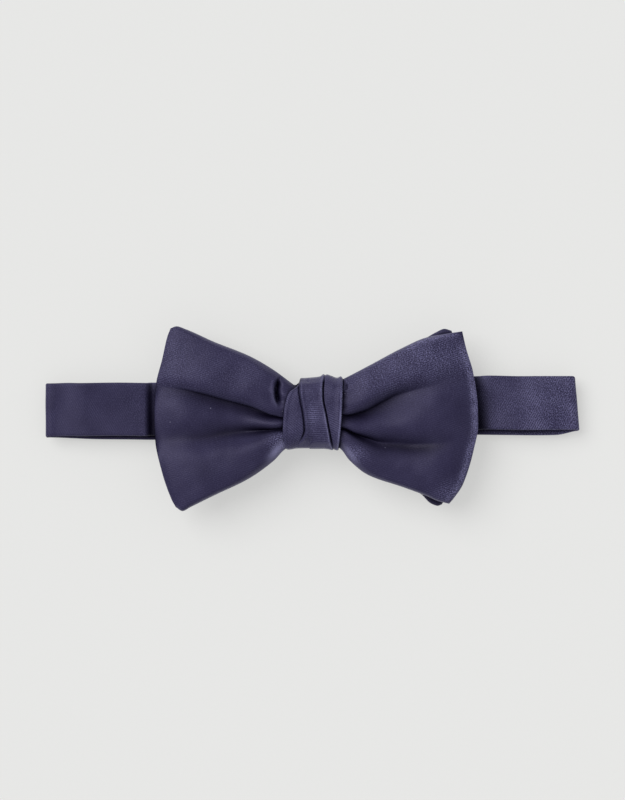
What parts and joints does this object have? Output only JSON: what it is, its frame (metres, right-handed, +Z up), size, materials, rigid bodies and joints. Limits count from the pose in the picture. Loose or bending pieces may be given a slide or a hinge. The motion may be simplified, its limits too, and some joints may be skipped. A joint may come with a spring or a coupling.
{
  "type": "pre-tied bow tie",
  "caption": "Pre-tied satin bow tie with a wrapped knot, on a neckband that closes with a hook and eye and adjusts with a slide.",
  "frame": {"origin": "on the resting plane, under the middle of the knot, with the bow lying on its back and the band closed", "axes": "+Z up out of the face of the bow, +X to the right seen from the front, +Y to the top edge"},
  "size_m": [0.1992, 0.0657, 0.0199],
  "materials": {
    "satin": "dark purple navy satin with a fine twill line",
    "interlining": "matt off-white woven interlining",
    "thread": "twisted sewing thread",
    "steel": "nickel-plated, satin"
  },
  "bodies": {
    "bow": {"band_front_satin": "satin", "band_front_interlining": "interlining", "band_front_right_satin": "satin", "band_front_right_interlining": "interlining", "band_left_fold_satin": "satin", "band_left_fold_interlining": "interlining", "bow_rear_satin": "satin", "bow_rear_interlining": "interlining", "bow_front_satin": "satin", "bow_front_interlining": "interlining", "knot_wrap": "satin", "knot_interlining": "interlining", "knot_seam_stitches": "thread", "waist_thread": "thread", "knot_tack_left": "thread", "knot_tack_right": "thread"},
    "left_tail": {"left_tail_satin": "satin", "left_tail_interlining": "interlining", "eye_loop_satin": "satin", "eye_loop_interlining": "interlining", "eye_tack": "thread"},
    "eye": {"eye_ring": "steel"},
    "right_fold": {"band_right_fold_satin": "satin", "band_right_fold_interlining": "interlining"},
    "right_tail": {"right_tail_satin": "satin", "right_tail_interlining": "interlining"},
    "hook_end": {"right_tail_end_satin": "satin", "right_tail_end_interlining": "interlining", "hook_loop_satin": "satin", "hook_loop_interlining": "interlining", "return_ply_satin": "satin", "return_ply_interlining": "interlining"},
    "hook": {"hook": "steel"},
    "slide": {"slide_loop_satin": "satin", "slide_loop_interlining": "interlining", "adjuster_slide": "steel", "slide_tack": "thread"}
  },
  "joints": [
    {"name": "left_band_fold", "type": "hinge", "parent": "bow", "child": "left_tail", "pos_m": [-0.0979, 0.001, 0.0051], "axis": [0, 1, 0], "range_deg": [0, 180], "deforming": ["band_left_fold_satin", "band_left_fold_interlining"]},
    {"name": "eye_swing", "type": "hinge", "parent": "left_tail", "child": "eye", "pos_m": [-0.0351, 0, 0.00225], "axis": [0, 1, 0], "range_deg": [-5, 20]},
    {"name": "right_fold_shift", "type": "slide", "parent": "bow", "child": "right_fold", "axis": [1, 0, 0], "range_m": [-0.018, 0.018], "deforming": ["band_front_right_satin", "band_front_right_interlining"]},
    {"name": "right_band_fold", "type": "hinge", "parent": "right_fold", "child": "right_tail", "pos_m": [0.0979, 0.0034, 0.0051], "axis": [0, -1, 0], "range_deg": [0, 180], "deforming": ["band_right_fold_satin", "band_right_fold_interlining"]},
    {"name": "hook_shift", "type": "slide", "parent": "right_tail", "child": "hook_end", "axis": [1, 0, 0], "range_m": [-0.018, 0.018], "deforming": ["right_tail_end_satin", "right_tail_end_interlining"]},
    {"name": "hook_swing", "type": "hinge", "parent": "hook_end", "child": "hook", "pos_m": [-0.018, 0, 0.00225], "axis": [0, -1, 0], "range_deg": [-5, 20]},
    {"name": "adjuster_slide", "type": "slide", "parent": "hook_end", "child": "slide", "axis": [1, 0, 0], "range_m": [-0.036, 0.036], "deforming": ["return_ply_satin", "return_ply_interlining"]}
  ],
  "couplings": [
    {"joint": "eye_swing", "follows": "hook_swing", "ratio": 1},
    {"joint": "right_fold_shift", "follows": "adjuster_slide", "ratio": -0.5},
    {"joint": "hook_shift", "follows": "adjuster_slide", "ratio": 0.5}
  ]
}
